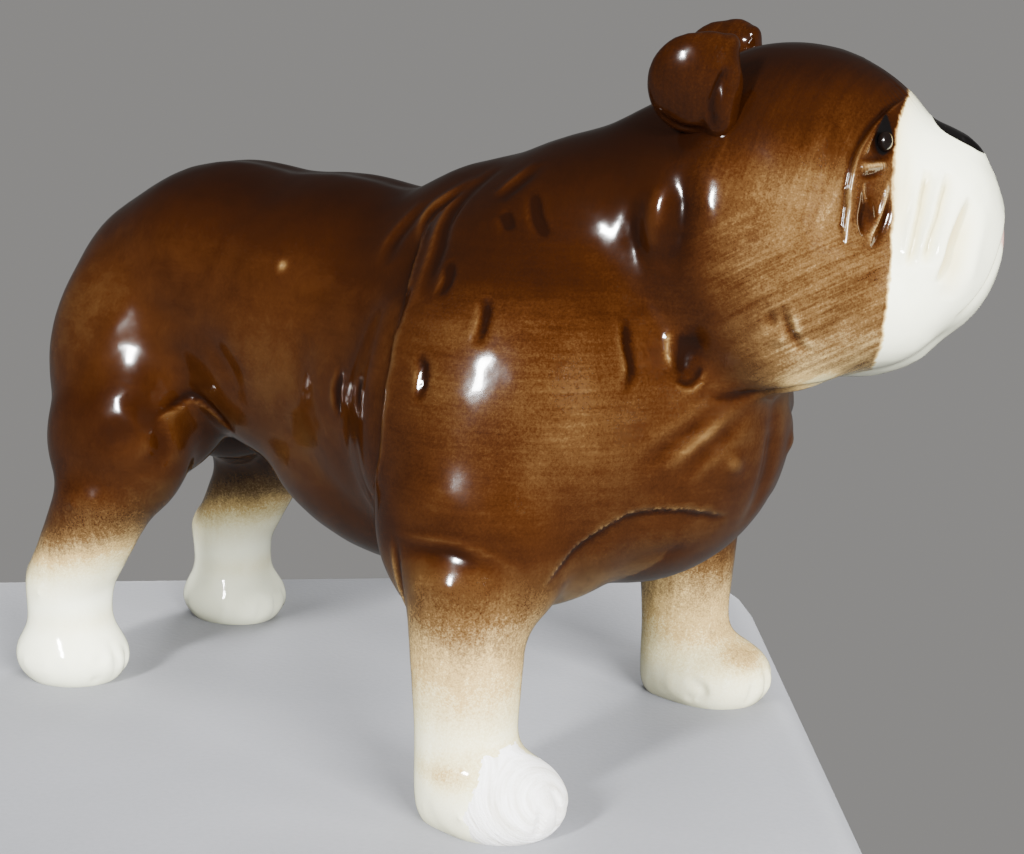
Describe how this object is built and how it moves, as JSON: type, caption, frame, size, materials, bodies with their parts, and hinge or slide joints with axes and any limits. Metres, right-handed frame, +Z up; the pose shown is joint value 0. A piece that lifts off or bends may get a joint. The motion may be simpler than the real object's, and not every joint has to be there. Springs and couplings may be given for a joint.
{
  "type": "dog figurine",
  "caption": "Standing bulldog figurine of hollow glazed ceramic castings with its head turned to its left and one repaired paw.",
  "frame": {"origin": "on the ground, under the middle of the figure's bounding box", "axes": "+X forward from tail to nose, +Y to the dog's left, +Z up"},
  "size_m": [0.1962, 0.1044, 0.1371],
  "materials": {
    "brown_glaze": "brushed brown underglaze colour under a clear high-gloss glaze",
    "cream_glaze": "brown fading to cream under a clear high-gloss glaze",
    "white_filler": "matt white plaster filler, unpainted"
  },
  "bodies": {
    "root": {"torso": "brown_glaze", "head": "brown_glaze", "right_ear": "brown_glaze", "left_ear": "brown_glaze", "tail": "brown_glaze", "right_front_leg": "cream_glaze", "left_front_leg": "cream_glaze", "right_hind_leg": "cream_glaze", "left_hind_leg": "cream_glaze", "paw_fill": "white_filler"}
  },
  "joints": []
}
